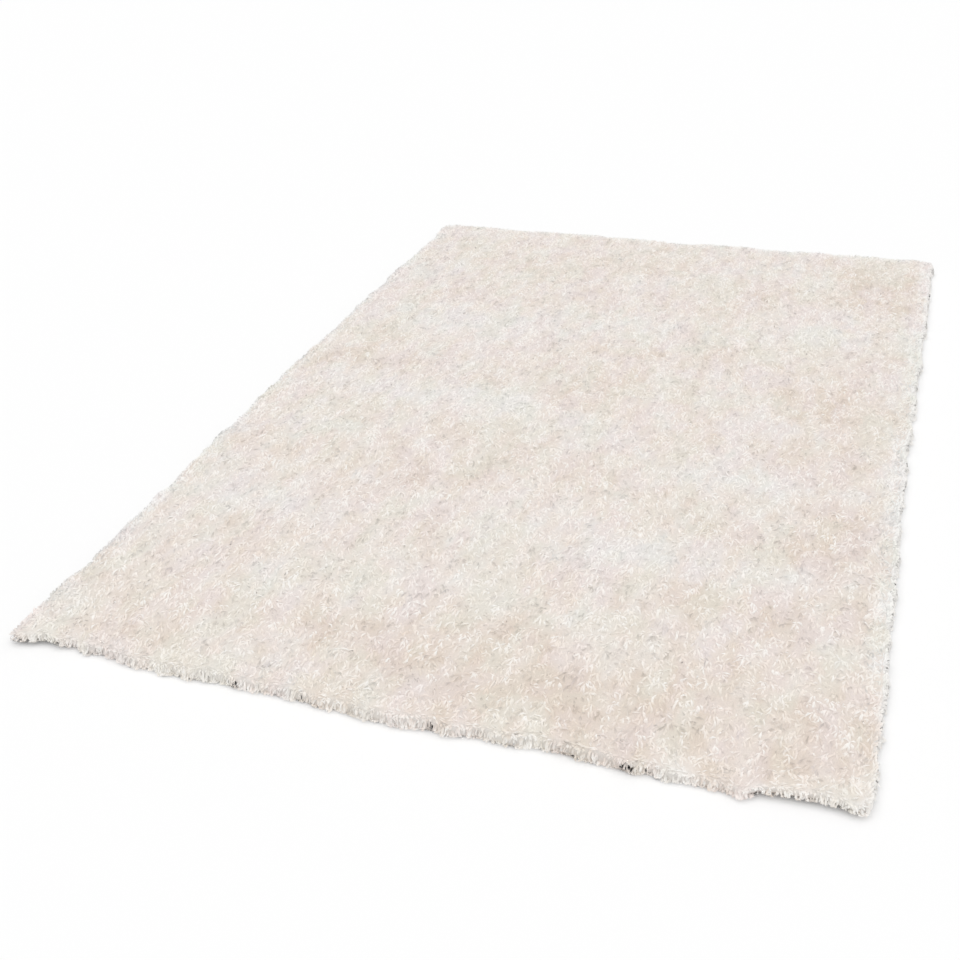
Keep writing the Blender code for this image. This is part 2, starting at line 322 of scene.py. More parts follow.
class RugForm:
    """The rug's solid form as the frame gives it: the top of the pile and the line of the rim."""

    GRID_STEP = 0.008
    REACH_PAST_EDGE = 0.02
    CELLS_OUTSIDE = 2.0
    TO_LAST_CELL = 1.001
    FLOOR_LEVEL = 1e-5
    TIP_DECIMALS = 5
    RIM_STEP = 0.003
    RIM_ZONE = 0.11
    TURN_REACH = 0.030
    RELIEF_KEPT = 0.45
    EVEN_OVER = 0.12
    LEVEL_FROM = 0.4
    FULL_FROM = 0.055
    SHOULDER_DROP = 0.003
    CAST_ABOVE = 0.1

    def __init__(self, pile: bpy.types.Object) -> None:
        """Reads the pile's solid.

        Args:
            pile: The frame's object of the pile.
        """
        points = np.empty(len(pile.data.vertices) * 3, dtype=np.float32)
        pile.data.vertices.foreach_get("co", points)
        self.points = points.reshape(-1, 3).astype(float)
        self.low, self.high = self.points.min(axis=0), self.points.max(axis=0)
        self._read_rim()
        self._read_top(pile)
        self._even_out()
        self._fill_shoulder()

    def _read_rim(self) -> None:
        """Finds the tips of the solid's locks, which touch the floor, in order round the rim.

        The near side counts from 0 to 2, the right side to 4, the far side to 6 and the left to 8.
        """
        tips = self.points[self.points[:, 2] < self.FLOOR_LEVEL][:, :2]
        tips = np.unique(tips.round(self.TIP_DECIMALS), axis=0)
        middle, half = (self.high[:2] + self.low[:2]) / 2, (self.high[:2] - self.low[:2]) / 2
        across, along = ((tips - middle) / half).T
        on_ends = np.abs(across) < np.abs(along)
        ends = np.where(along < 0, across + 1, 5 - across)
        sides = np.where(across > 0, along + 3, 7 - along)
        tips = tips[np.argsort(np.where(on_ends, ends, sides))]
        self.rim = np.concatenate([tips, tips[:1]])
        steps = np.linalg.norm(np.diff(self.rim, axis=0), axis=1)
        self.rim_distance = np.concatenate([[0.0], np.cumsum(steps)])
        walk = np.arange(0.0, self.rim_length, self.RIM_STEP)
        self.rim_points, self.rim_outward = self.rim_at(walk)
        self.rim_tree = KDTree(len(walk))
        for index, point in enumerate(self.rim_points):
            self.rim_tree.insert((point[0], point[1], 0.0), index)
        self.rim_tree.balance()

    @property
    def rim_length(self) -> float:
        """Distance once round the rim."""
        return float(self.rim_distance[-1])

    def rim_at(self, distance: np.ndarray) -> tuple[np.ndarray, np.ndarray]:
        """Places and outward directions round the rim.

        Args:
            distance: Distances walked round the rim, anticlockwise from the near left corner.

        Returns:
            The points on the line through the tips, and the flat directions that face out there.
        """

        def place(walk: np.ndarray) -> np.ndarray:
            """Finds the point at each distance.

            Args:
                walk: Distances round the rim, which may be past its end.

            Returns:
                The points on the floor plan.
            """
            walk = np.mod(walk, self.rim_length)
            spots = (np.interp(walk, self.rim_distance, axis) for axis in self.rim.T)
            return np.column_stack(list(spots))

        forward = unit(place(distance + self.TURN_REACH) - place(distance - self.TURN_REACH))
        return place(distance), np.stack([forward[:, 1], -forward[:, 0]], axis=1)

    def rim_beside(self, places: np.ndarray) -> tuple[np.ndarray, np.ndarray]:
        """How each place lies to the nearest point of the rim.

        Args:
            places: Points of the floor plan, one row each.

        Returns:
            How far inside the rim each place lies, and the flat direction that faces out there.
        """
        to_box = np.minimum(places[:, :2] - self.low[:2], self.high[:2] - places[:, :2]).min(axis=1)
        inside = to_box.copy()
        outward = np.zeros((len(places), 2))
        for index in np.nonzero(to_box < self.RIM_ZONE)[0]:
            x, y = places[index, :2]
            nearest = self.rim_tree.find((x, y, 0.0))[1]
            facing = self.rim_outward[nearest]
            gap = self.rim_points[nearest] - (x, y)
            inside[index] = math.copysign(math.hypot(*gap), gap @ facing)
            outward[index] = facing
        return inside, outward

    def _read_top(self, pile: bpy.types.Object) -> None:
        """Drops a grid of plumb lines on the pile to learn its height everywhere.

        Args:
            pile: The frame's object of the pile.
        """
        faces = [tuple(face.vertices) for face in pile.data.polygons]
        tree = BVHTree.FromPolygons([Vector(p) for p in self.points], faces)
        self.origin = self.low[:2] - self.REACH_PAST_EDGE
        span = self.high[:2] + self.REACH_PAST_EDGE - self.origin
        columns, rows = np.ceil(span / self.GRID_STEP).astype(int) + 1
        self.heights = np.zeros((columns, rows))
        down = Vector((0.0, 0.0, -1.0))
        above = self.high[2] + self.CAST_ABOVE
        for column in range(columns):
            x = self.origin[0] + column * self.GRID_STEP
            for row in range(rows):
                y = self.origin[1] + row * self.GRID_STEP
                hit = tree.ray_cast(Vector((x, y, above)), down)[0]
                if hit is not None:
                    self.heights[column, row] = hit.z

    def _grid_places(self) -> np.ndarray:
        """The places of the grid of heights, one row each."""
        columns, rows = np.indices(self.heights.shape)
        return np.stack([columns.ravel(), rows.ravel()], axis=1) * self.GRID_STEP + self.origin

    def _even_out(self) -> None:
        """Fills the hollows between the solid's lumps in part, as the loose ends of the yarn do."""
        covered = (self.heights > 0.0).astype(float)
        reach = round(self.EVEN_OVER / self.GRID_STEP / 2)
        window = np.ones(2 * reach + 1)

        def spread(grid: np.ndarray) -> np.ndarray:
            """Adds up a square round each grid point.

            Args:
                grid: The values.

            Returns:
                The sums.
            """
            for axis in (0, 1):
                grid = np.apply_along_axis(np.convolve, axis, grid, window, "same")
            return grid

        level = spread(self.heights) / np.maximum(spread(covered), 1.0)
        beside = self.rim_beside(self._grid_places())[0]
        inside = smoothstep(self.EVEN_OVER * self.LEVEL_FROM, self.EVEN_OVER, beside)
        share = inside.reshape(self.heights.shape) * (1.0 - self.RELIEF_KEPT)
        self.heights = self.heights * (1.0 - share) + level * share

    def _fill_shoulder(self) -> None:
        """Carries the height of the pile out to the rim, as the fanned yarn there does."""
        places = self._grid_places()
        inside, outward = self.rim_beside(places)
        short = np.maximum(self.FULL_FROM - inside, 0.0)
        filled = self.top_at(places - outward * short[:, None])
        filled -= self.SHOULDER_DROP * (short / self.FULL_FROM) ** 2
        filled = np.where(inside < -self.CELLS_OUTSIDE * self.GRID_STEP, 0.0, filled)
        self.heights = filled.reshape(self.heights.shape)

    def top_at(self, places: np.ndarray) -> np.ndarray:
        """Height of the top of the pile.

        Args:
            places: Points of the floor plan, one row each.

        Returns:
            One height for each place, 0 outside the rug.
        """
        spot = (places[:, :2] - self.origin) / self.GRID_STEP
        spot = np.clip(spot, 0.0, np.array(self.heights.shape) - self.TO_LAST_CELL)
        corner = spot.astype(int)
        column, row = corner.T
        return between(self.heights, column, row, spot - corner)


@dataclass(frozen=True)
class Overhang:
    """A stretch of the rim where the pile stands a little off the floor."""

    x: float
    y: float
    reach: float
    height: float


OVERHANGS = (
    Overhang(-0.750, -1.17, 0.075, 0.006),
    Overhang(0.710, -1.17, 0.110, 0.006),
)


@dataclass(frozen=True)
class CornerPoint:
    """A corner of the rug, where the fanned yarn runs out to a point."""

    x: float
    y: float
    spread: float
    length: float


CORNER_POINTS = (
    CornerPoint(-0.788, -1.162, 0.024, 0.023),
    CornerPoint(0.788, -1.158, 0.012, 0.019),
    CornerPoint(0.797, 1.163, 0.020, 0.008),
    CornerPoint(-0.782, 1.166, 0.020, 0.008),
)


@dataclass(frozen=True)
class RimRoll:
    """The full edge of the pile, from the flat top out over the rim and back under it to the floor.

    A place on it is a distance walked round the rim and a turn: below 0 on the flat top, a quarter
    circle at the widest place, half a circle at the foot.
    """

    form: RugForm
    width: float = 0.024
    fullness: float = 0.55
    past_rim: float = 0.001
    belly: float = 0.006
    tuck: float = -0.002
    undercut: float = 1.0
    foot: float = 0.0012
    full_lift: float = 0.006
    open_shade: float = 0.10
    shade_turns: tuple[float, float] = (1.55, 2.1)
    right_light: float = 1.5
    left_light: float = -0.6
    near_light: float = 0.45
    light_turns: tuple[float, float] = (0.2, 1.1)

    @staticmethod
    def lift_at(point: np.ndarray) -> np.ndarray:
        """How far the pile stands off the floor.

        Args:
            point: Places on the rim, one row each.

        Returns:
            One height for each place.
        """
        total = np.zeros(len(point))
        for lift in OVERHANGS:
            away = ((point[:, 0] - lift.x) ** 2 + (point[:, 1] - lift.y) ** 2) / lift.reach**2
            total += lift.height * np.exp(-(away**2))
        return total

    @staticmethod
    def point_length(point: np.ndarray) -> np.ndarray:
        """How far the yarn runs out past the rim at the corners.

        Args:
            point: Places on the rim, one row each.

        Returns:
            One length for each place.
        """
        total = np.zeros(len(point))
        for corner in CORNER_POINTS:
            away = np.hypot(point[:, 0] - corner.x, point[:, 1] - corner.y)
            total += corner.length * np.exp(-away / corner.spread)
        return total

    def shade_at(self, walk: np.ndarray, turn: np.ndarray) -> np.ndarray:
        """How deep in painted shade the yarn lies under the edge, where hardly any light reaches
        it.

        Args:
            walk: Distances walked round the rim.
            turn: Turns from the flat top, in radians.

        Returns:
            0 for yarn in the open, 1 for the deepest under an overhang.
        """
        lift = self.lift_at(self.form.rim_at(walk)[0])
        lifted = np.clip(lift / self.full_lift, 0.0, 1.0)
        deepest = self.open_shade + (1.0 - self.open_shade) * lifted
        return deepest * smoothstep(*self.shade_turns, turn)

    def side_light(self, walk: np.ndarray, turn: np.ndarray) -> np.ndarray:
        """How much paler or darker the yarn on each side is painted, as painted light and painted
        shade at the edge.

        Args:
            walk: Distances walked round the rim.
            turn: Turns from the flat top, in radians.

        Returns:
            What to add to the light of the yarn there.
        """
        across, along = self.form.rim_at(walk)[1].T
        # Painted light on the right and near sides, painted shade on the left.
        total = self.right_light * np.maximum(across, 0.0)
        total += self.left_light * np.maximum(-across, 0.0)
        total += self.near_light * np.maximum(-along, 0.0)
        return total * smoothstep(*self.light_turns, turn)

    def surface(self, walk: np.ndarray, turn: np.ndarray, out: np.ndarray) -> np.ndarray:
        """Points on or near the edge.

        Args:
            walk: Distances walked round the rim.
            turn: Turns from the flat top, in radians.
            out: How far outside the surface each point lies.

        Returns:
            One point for each walk and turn.
        """
        point, outward = self.form.rim_at(walk)
        upper = np.clip(turn, 0.0, math.pi / 2)
        lower = np.clip(turn - math.pi / 2, 0.0, math.pi / 2)
        inward = np.maximum(-turn, 0.0) * self.width
        top = self.form.top_at(point - outward * (self.width + inward)[:, None])
        lift = self.lift_at(point)
        belly = self.foot + lift + self.belly
        inset = self.width * (1.0 - np.sin(upper) ** self.fullness) + inward - self.past_rim
        inset += (self.tuck + self.undercut * lift) * (1.0 - np.cos(lower)) - out * np.sin(upper)
        inset -= self.point_length(point) * np.clip(turn, 0.0, 1.0)
        height = belly + (top - belly) * np.cos(upper) ** self.fullness + out * np.cos(upper)
        height -= self.belly * np.sin(lower)
        return np.column_stack([point - outward * inset[:, None], height])


# ---- finishes


@dataclass(frozen=True)
class NodeTree:
    """A small helper that lays out the nodes of a material or a node group."""

    tree: bpy.types.NodeTree

    def fill(self, node: bpy.types.Node, **inputs: object) -> None:
        """Fills a node's inputs.

        Args:
            node: The node.
            inputs: Values or sockets, by the input's name with _ for a space, or its number as iN.
        """
        for name, value in inputs.items():
            socket = node.inputs[int(name[1:]) if name[1:].isdigit() else name.replace("_", " ")]
            if isinstance(value, bpy.types.NodeSocket):
                self.tree.links.new(value, socket)
            else:
                socket.default_value = value

    def add(self, kind: str, settings: dict | None = None, **inputs: object) -> bpy.types.Node:
        """Adds a node and fills its inputs.

        Args:
            kind: The node's type name.
            settings: Properties to set on the node.
            inputs: Values or sockets for its inputs.

        Returns:
            The new node.
        """
        node = self.tree.nodes.new(kind)
        for name, value in (settings or {}).items():
            setattr(node, name, value)
        self.fill(node, **inputs)
        return node

    def attribute(self, name: str) -> bpy.types.Node:
        """Adds a node that reads an attribute of the piece."""
        return self.add("ShaderNodeAttribute", {"attribute_name": name})

    def ranged(self, value: bpy.types.NodeSocket, **ends: float) -> bpy.types.NodeSocket:
        """Stretches a value from one range to another, both from 0 to 1 unless the ends say so."""
        return self.add("ShaderNodeMapRange", Value=value, **ends).outputs[0]

    def maths(self, operation: str, *values: object) -> bpy.types.NodeSocket:
        """Adds a Math node, with its inputs in order."""
        inputs = {f"i{number}": value for number, value in enumerate(values)}
        return self.add("ShaderNodeMath", {"operation": operation}, **inputs).outputs[0]

    def halves(self, value: bpy.types.NodeSocket) -> tuple[bpy.types.NodeSocket, ...]:
        """Parts a value in its share above 0 and its share below 0.

        Args:
            value: The value.

        Returns:
            Both shares, 0 or more.
        """
        below = self.maths("MAXIMUM", self.maths("MULTIPLY", value, -1.0), 0.0)
        return self.maths("MAXIMUM", value, 0.0), below

    def mix(
        self, share: object, first: object, second: tuple[float, ...], held: bool = True
    ) -> bpy.types.NodeSocket:
        """Mixes two colours.

        Args:
            share: How much of the second to take.
            first: A colour or a socket.
            second: A colour.
            held: Whether a share past 1 counts as 1.

        Returns:
            The mixed colour.
        """
        settings = {"data_type": "RGBA", "clamp_factor": held}
        node = self.add("ShaderNodeMix", settings, i0=share, i6=first, i7=(*second, 1.0))
        return node.outputs[2]


def new_group(
    name: str, inputs: dict[str, str], outputs: tuple[str, ...]
) -> tuple[NodeTree, bpy.types.NodeOutputs, bpy.types.Node]:
    """Starts a shader node group.

    Args:
        name: The group's name.
        inputs: The kinds of its inputs, by name.
        outputs: The names of its outputs, which are all numbers.

    Returns:
        The group's tree, the sockets that read its inputs and the node of its outputs.
    """
    group = bpy.data.node_groups.new(name, "ShaderNodeTree")
    for label, kind in inputs.items():
        group.interface.new_socket(label, in_out="INPUT", socket_type=f"NodeSocket{kind}")
    for label in outputs:
        group.interface.new_socket(label, in_out="OUTPUT", socket_type="NodeSocketFloat")
    given, result = group.nodes.new("NodeGroupInput"), group.nodes.new("NodeGroupOutput")
    return NodeTree(group), given.outputs, result


def new_material(name: str) -> tuple[bpy.types.Material, NodeTree, bpy.types.Node]:
    """Starts a material.

    Args:
        name: The material's name.

    Returns:
        The material, its tree and its shader.
    """
    material = bpy.data.materials.new(name)
    material.use_nodes = True
    shader = material.node_tree.nodes["Principled BSDF"]
    return material, NodeTree(material.node_tree), shader


def fibre_group(
    roughness: float = 0.6, thin: float = 0.28, thick: float = 0.72
) -> bpy.types.NodeTree:
    """The fine strands that run along a lock of yarn.

    Args:
        roughness: How rough the noise of the strands is.
        thin: The noise that counts as the gap between two strands.
        thick: The noise that counts as the middle of a strand.

    Returns:
        A group that turns a place round and along a lock into strands.
    """
    inputs = {"Lock Place": "Vector", "Strand Scale": "Float", "Detail": "Float"}
    tree, given, result = new_group("yarn_strands", inputs, ("Strands", "Height"))
    noise = tree.add(
        "ShaderNodeTexNoise",
        Vector=given["Lock Place"],
        Scale=given["Strand Scale"],
        Detail=given["Detail"],
        Roughness=roughness,
    ).outputs[0]
    strands = tree.ranged(noise, From_Min=thin, From_Max=thick)
    tree.fill(result, Strands=strands, Height=noise)
    return tree.tree


def weave_group(over_height: float = 0.5) -> bpy.types.NodeTree:
    """A plain weave of warp and weft threads.

    Args:
        over_height: How far a thread that lies over another stands up.

    Returns:
        A group that turns a place on flat cloth into threads.
    """
    inputs = {"Place": "Vector", "Threads": "Float"}
    tree, given, result = new_group("plain_weave", inputs, ("Thread", "Height"))
    split = tree.add("ShaderNodeSeparateXYZ", Vector=given["Place"])
    sines, ridges = [], []
    for axis in (0, 1):
        phase = tree.maths("MULTIPLY", split.outputs[axis], given["Threads"])
        sines.append(tree.maths("SINE", phase))
        ridges.append(tree.maths("ABSOLUTE", tree.maths("COSINE", phase)))
    over = tree.maths("MULTIPLY", *sines)
    raised = tree.maths("MULTIPLY", over, over_height)
    height = tree.maths("ADD", raised, tree.maths("MAXIMUM", *ridges))
    tree.fill(result, Thread=over, Height=height)
    return tree.tree


@dataclass(frozen=True)
class YarnFinish:
    """The soft matt yarn of the pile, mottled from warm beige through cream to a cool pale."""

    name: str = "cream_yarn"
    middle: tuple[float, float, float] = (0.928, 0.846, 0.781)
    pale: tuple[float, float, float] = (0.925, 0.900, 0.868)
    warm: tuple[float, float, float] = (0.845, 0.735, 0.640)
    lilac: tuple[float, float, float] = (0.895, 0.797, 0.802)
    green: tuple[float, float, float] = (0.848, 0.842, 0.745)
    painted_highlight: tuple[float, float, float] = (0.955, 0.930, 0.895)
    cast: float = 0.44
    root_shade: float = 0.85
    root_contrast: float = 0.12
    tip_contrast: float = 0.08
    root_end: float = 0.6
    deep_shade: float = 0.37
    strand_scale: float = 2.4
    strand_detail: float = 2.0
    roughness: float = 0.85
    sheen: float = 0.25
    sheen_roughness: float = 0.5
    specular: float = 0.25
    bump: float = 0.5
    bump_distance: float = 0.0006
    root_bump: float = 2.0
    root_bump_end: float = 0.5

    def build(self, strands: bpy.types.NodeTree) -> bpy.types.Material:
        """Makes the yarn's material.

        Args:
            strands: The group of the yarn's fine strands.

        Returns:
            The material.
        """
        material, tree, shader = new_material(self.name)
        fibre = tree.add(
            "ShaderNodeGroup",
            {"node_tree": strands},
            Lock_Place=tree.attribute("lock_place").outputs["Vector"],
            Strand_Scale=self.strand_scale,
            Detail=self.strand_detail,
        )
        tone, cast, light, along = (
            tree.attribute(name).outputs["Fac"] for name in ("tone", "cast", "light", "along")
        )
        paleness, warmth = tree.halves(tone)
        lilac, green = (tree.maths("MULTIPLY", share, self.cast) for share in tree.halves(cast))
        bright, deep = tree.halves(light)
        colour = tree.mix(paleness, (*self.middle, 1.0), self.pale, held=False)
        colour = tree.mix(warmth, colour, self.warm)
        colour = tree.mix(lilac, colour, self.lilac)
        colour = tree.mix(green, colour, self.green)
        # Painted highlight: locks with light above 0 are mixed towards a pale glint colour.
        colour = tree.mix(bright, colour, self.painted_highlight)
        # Painted shade in the gaps between strands, stronger at the roots than at the tips.
        contrast = tree.ranged(
            along, From_Max=self.root_end, To_Min=self.root_contrast, To_Max=self.tip_contrast
        )
        gap = tree.maths("SUBTRACT", 1.0, fibre.outputs["Strands"])
        strand_shade = tree.maths("SUBTRACT", 1.0, tree.maths("MULTIPLY", gap, contrast))
        # Painted shade: each lock is darker towards its root, where neighbouring locks shade it.
        depth = tree.ranged(along, From_Max=self.root_end, To_Min=self.root_shade, To_Max=1.0)
        # Painted shade: locks with light below 0 are darkened as if they lay deep in the pile.
        painted_deep_shade = tree.maths("SUBTRACT", 1.0, tree.maths("MULTIPLY", deep, self.deep_shade))
        shade = tree.maths("MULTIPLY", tree.maths("MULTIPLY", strand_shade, depth), painted_deep_shade)
        scaled = tree.add("ShaderNodeVectorMath", {"operation": "SCALE"}, i0=colour, Scale=shade)
        rise = tree.ranged(along, From_Max=self.root_bump_end, To_Min=self.root_bump, To_Max=1.0)
        height = tree.maths("MULTIPLY", fibre.outputs["Height"], rise)
        bump = tree.add(
            "ShaderNodeBump", Strength=self.bump, Distance=self.bump_distance, Height=height
        )
        tree.fill(
            shader,
            Base_Color=scaled.outputs[0],
            Normal=bump.outputs[0],
            Roughness=self.roughness,
            Specular_IOR_Level=self.specular,
            Sheen_Weight=self.sheen,
            Sheen_Roughness=self.sheen_roughness,
        )
        return material


@dataclass(frozen=True)
class GroundClothFinish:
    """The plain woven cloth that the yarn is fixed in."""

    name: str = "ground_cloth"
    high_thread: tuple[float, float, float] = (0.560, 0.510, 0.430)
    low_thread: tuple[float, float, float] = (0.380, 0.335, 0.270)
    threads: float = 1250.0
    thread_contrast: float = 0.35
    slub_scale: float = 140.0
    slub_detail: float = 3.0
    roughness: float = 0.9
    bump_distance: float = 0.0005

    def build(self, weave: bpy.types.NodeTree) -> bpy.types.Material:
        """Makes the cloth's material.

        Args:
            weave: The group of a plain weave.

        Returns:
            The material.
        """
        material, tree, shader = new_material(self.name)
        place = tree.add("ShaderNodeTexCoord").outputs["Object"]
        thread = tree.add(
            "ShaderNodeGroup", {"node_tree": weave}, Place=place, Threads=self.threads
        ).outputs
        slubs = tree.add(
            "ShaderNodeTexNoise", Vector=place, Scale=self.slub_scale, Detail=self.slub_detail
        )
        share = tree.maths("MULTIPLY_ADD", thread["Thread"], self.thread_contrast, slubs.outputs[0])
        bump = tree.add("ShaderNodeBump", Distance=self.bump_distance, Height=thread["Height"])
        colour = tree.mix(share, (*self.low_thread, 1.0), self.high_thread)
        tree.fill(shader, Base_Color=colour, Normal=bump.outputs[0], Roughness=self.roughness)
        return material


@dataclass(frozen=True)
class FloorFinish:
    """The white studio floor."""

    name: str = "white_floor"
    colour: tuple[float, float, float] = (0.890, 0.890, 0.890)
    roughness: float = 0.9
    specular: float = 0.0

    def build(self) -> bpy.types.Material:
        """Makes the floor's material.

        Returns:
            The material.
        """
        material, tree, shader = new_material(self.name)
        tree.fill(
            shader,
            Base_Color=(*self.colour, 1.0),
            Roughness=self.roughness,
            Specular_IOR_Level=self.specular,
        )
        return material


# ---- locks of yarn


@dataclass(frozen=True)
class LockShape:
    """How a lock of yarn is drawn: its rings from root to tip, and its sides."""

    ring_shares: tuple[float, ...] = (0.0, 0.58)
    ring_girths: tuple[float, ...] = (0.9, 0.88)
    sides: int = 3
    thinness: float = 0.50
    roundness: float = 0.5
    evenness: float = 0.0
    first_side: float = math.pi / 2
    side_turn: float = 0.35
    light_from: float = 0.5
    place_run: float = 0.9
    place_spread: float = 50.0


@dataclass
class LockSet:
    """Many locks of yarn as arrays, one row for each lock."""

    roots: np.ndarray
    knees: np.ndarray
    tips: np.ndarray
    half_widths: np.ndarray
    tones: np.ndarray
    casts: np.ndarray
    lights: np.ndarray

    def part(self, chosen: np.ndarray) -> "LockSet":
        """Makes a set with only the chosen locks."""
        return LockSet(*(getattr(self, field.name)[chosen] for field in fields(self)))

    def split(self, share: np.ndarray, seed: int) -> tuple[np.ndarray, np.ndarray]:
        """Parts the dense locks, which cast shadows, from the loose ones, which pass light."""
        dense = np.random.default_rng(seed + DENSE_SEED_OFFSET).random(len(self.roots)) < share
        return np.nonzero(dense)[0], np.nonzero(~dense)[0]

    def draw(self, name: str, shape: LockShape, seed: int) -> bpy.types.Object:
        """Draws every lock as a closed tapering form and joins them in one mesh.

        Args:
            name: The piece's name.
            shape: How each lock is drawn.
            seed: Starts the random turns of the locks.

        Returns:
            The new piece.
        """
        count = len(self.roots)
        chance = np.random.default_rng(seed)
        turn = shape.first_side + chance.uniform(-shape.side_turn, shape.side_turn, count)
        start = chance.uniform(-shape.place_spread, shape.place_spread, (count, 3))
        run = self.tips - self.roots
        crosswise = unit(np.stack([-run[:, 1], run[:, 0], np.zeros(count)], axis=1))
        level = np.array([0.0, 0.0, shape.evenness])
        rings, places, along, facings = [], [], [], []
        for share, girth in zip(shape.ring_shares, shape.ring_girths):
            tangent = (self.knees - self.roots) * (1 - share) + (self.tips - self.knees) * share
            upward = np.cross(unit(tangent), crosswise)
            middle, width = self._point_at(share), (self.half_widths * girth)[:, None]
            for side in range(shape.sides):
                angle = turn + 2 * math.pi * side / shape.sides
                rise = upward * (shape.thinness * np.sin(angle))[:, None]
                across = crosswise * np.cos(angle)[:, None] + rise
                rings.append(middle + across * width)
                facings.append(unit(across * shape.roundness + upward + level))
                circle = headings(angle)
                places.append(np.insert(circle, 2, share * shape.place_run, axis=1) + start)
                along.append(share)
        rings.append(self.tips)
        facings.append(unit(upward + level))
        places.append(start + (0.0, 0.0, shape.place_run))
        along.append(1.0)
        corners, sizes = self._faces(shape)
        per_lock = len(rings)
        offsets = np.arange(count)[:, None] * per_lock
        points = np.stack(rings, axis=1).reshape(-1, 3)
        piece = mesh_object(name, points, (corners + offsets).ravel(), np.tile(sizes, count))
        facings = np.stack(facings, axis=1).reshape(-1, 3)
        piece.data.normals_split_custom_set_from_vertices(facings)
        set_attribute(piece, "lock_place", np.stack(places, axis=1).reshape(-1, 3))
        set_attribute(piece, "along", np.tile(along, count))
        set_attribute(piece, "tone", np.repeat(self.tones, per_lock))
        set_attribute(piece, "cast", np.repeat(self.casts, per_lock))
        lit = np.minimum(np.array(along) / shape.light_from, 1.0)
        set_attribute(piece, "light", np.outer(self.lights, lit).ravel())
        return piece

    def _point_at(self, share: float) -> np.ndarray:
        """The middle of every lock at a share of its length, from 0 at the root to 1 at the tip."""
        first, second = (1 - share) ** 2, 2 * share * (1 - share)
        return self.roots * first + self.knees * second + self.tips * share * share

    @staticmethod
    def _faces(shape: LockShape) -> tuple[np.ndarray, np.ndarray]:
        """The faces of one lock.

        Args:
            shape: How the lock is drawn.

        Returns:
            The corners of its faces, and how many corners each has.
        """
        sides, rings = shape.sides, len(shape.ring_shares)
        corners: list[int] = []
        sizes: list[int] = []
        for ring in range(rings - 1):
            for side in range(sides):
                after = (side + 1) % sides
                low, high = ring * sides, (ring + 1) * sides
                corners += [low + side, low + after, high + after, high + side]
                sizes.append(4)
        last, tip = (rings - 1) * sides, rings * sides
        for side in range(sides):
            corners += [last + side, last + (side + 1) % sides, tip]
            sizes.append(3)
        corners += list(reversed(range(sides)))
        sizes.append(sides)
        return np.array(corners), np.array(sizes)


